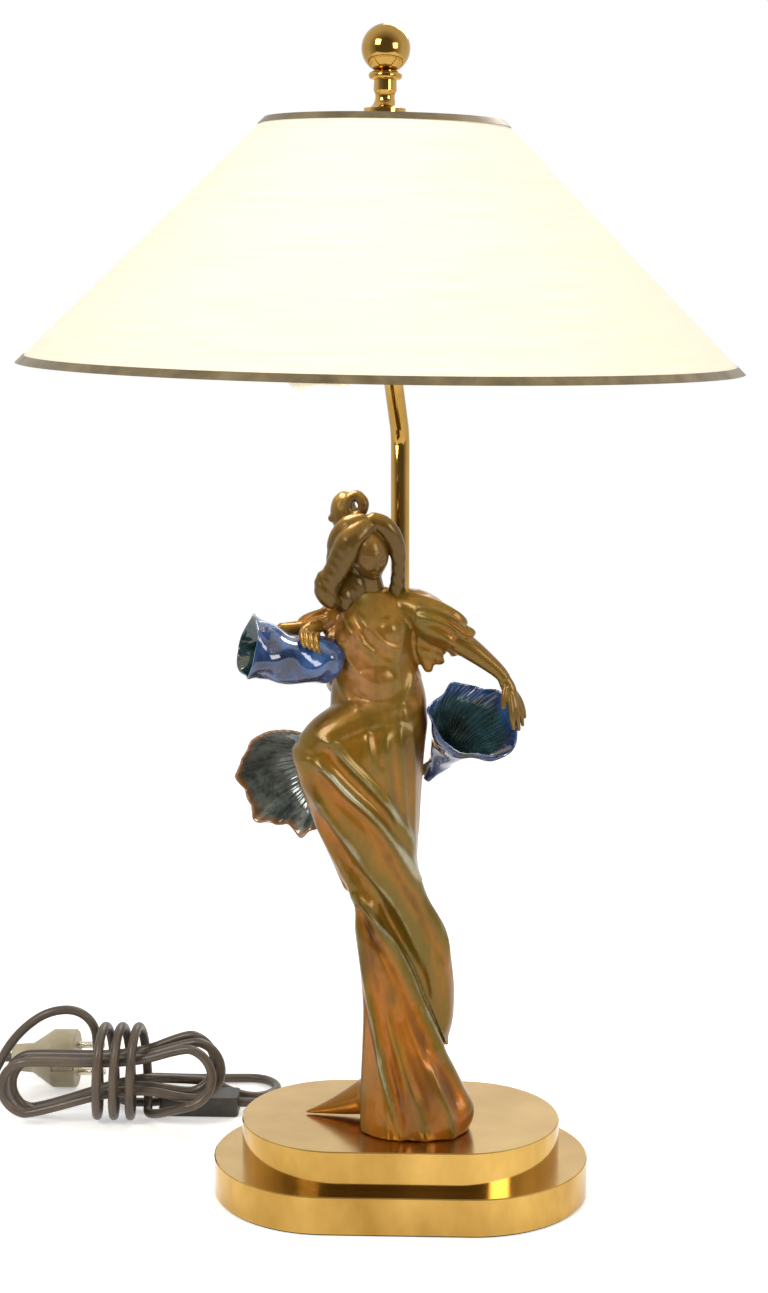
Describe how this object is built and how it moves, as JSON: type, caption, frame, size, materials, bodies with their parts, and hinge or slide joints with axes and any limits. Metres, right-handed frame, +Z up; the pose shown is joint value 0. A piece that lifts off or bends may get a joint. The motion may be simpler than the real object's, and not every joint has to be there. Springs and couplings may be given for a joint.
{
  "type": "table lamp",
  "caption": "Figural table lamp: bronze figure holding glazed blooms on a two-tier brass base, with a swan-neck stem, one lampholder and a wide conical shade.",
  "frame": {"origin": "centre of the felt underside of the base, on the table", "axes": "+Z up; the figure faces -Y; +X to the viewer's right when facing the figure; the tube and the cord exit are on the +Y side"},
  "size_m": [0.494, 0.4118, 0.6798],
  "materials": {
    "brass": "polished",
    "steel": "zinc plated",
    "ballast": "raw casting",
    "felt": "felt",
    "bronze_patina": "dark patina over gold highlights",
    "skin_bronze": "warm rubbed bronze",
    "hair_bronze": "dark reddish brown patina",
    "bloom_blue_green": "glazed opaque glass with brown rim",
    "shade_fabric": "satin lining under cream cloth",
    "shade_trim": "woven tape",
    "bulb_glass": "frosted",
    "bulb_metal": "rolled",
    "liner": "moulded",
    "cord": "semi gloss",
    "switch_plastic": "moulded",
    "plug_plastic": "moulded",
    "pin_metal": "nickel plated"
  },
  "bodies": {
    "root": {"felt_pad": "felt", "lower_tier": "brass", "upper_tier": "brass", "base_ballast": "ballast", "ballast_bolts": "steel", "figure_bolts": "steel", "tube_washer": "steel", "tube_nut": "steel", "tube_collar": "brass", "swan_neck_tube": "brass", "inner_lead": "cord", "stem_hub": "brass", "side_arm": "brass", "riser_rod": "brass", "shade_seat": "brass", "lampholder_shell": "brass", "lampholder_liner": "liner", "right_hand_bloom": "bloom_blue_green", "left_hand_bloom": "bloom_blue_green", "knee_bloom": "bloom_blue_green", "gown": "bronze_patina", "head": "skin_bronze", "hair": "hair_bronze", "left_sleeve": "bronze_patina", "left_arm": "skin_bronze", "right_sleeve": "bronze_patina", "right_arm": "skin_bronze", "right_hand": "skin_bronze", "bloom_stalks": "bronze_patina", "cord_grommet": "cord", "cord_to_switch": "cord", "cord_to_hank": "cord", "cord_hank": "cord", "cord_to_plug": "cord", "switch_body": "switch_plastic", "plug_body": "plug_plastic", "plug_pins": "pin_metal", "plug_earth_strips": "pin_metal"},
    "bulb": {"bulb_envelope": "bulb_glass", "bulb_cap": "bulb_metal"},
    "shade": {"shade_cone": "shade_fabric", "shade_top_trim": "shade_trim", "shade_hem_trim": "shade_trim", "shade_hem_ring": "steel", "shade_spider": "brass"},
    "finial": {"finial_washer": "brass", "ball_finial": "brass"},
    "rocker": {"switch_rocker": "switch_plastic"}
  },
  "joints": [
    {"name": "shade_turn", "type": "hinge", "parent": "root", "child": "shade", "pos_m": [-0.00862, -0.025, 0.6234], "axis": [0.0175, 0, 0.9998], "continuous": true},
    {"name": "finial_turn", "type": "hinge", "parent": "root", "child": "finial", "pos_m": [-0.00833, -0.025, 0.6399], "axis": [0.0175, 0, 0.9998], "continuous": true},
    {"name": "bulb_turn", "type": "hinge", "parent": "root", "child": "bulb", "pos_m": [-0.04424, -0.025, 0.53051], "axis": [0.0175, 0, 0.9998], "continuous": true},
    {"name": "switch_rock", "type": "hinge", "parent": "root", "child": "rocker", "pos_m": [-0.136, 0.122, 0.011], "axis": [0, 1, 0], "range_deg": [-12, 0]}
  ]
}
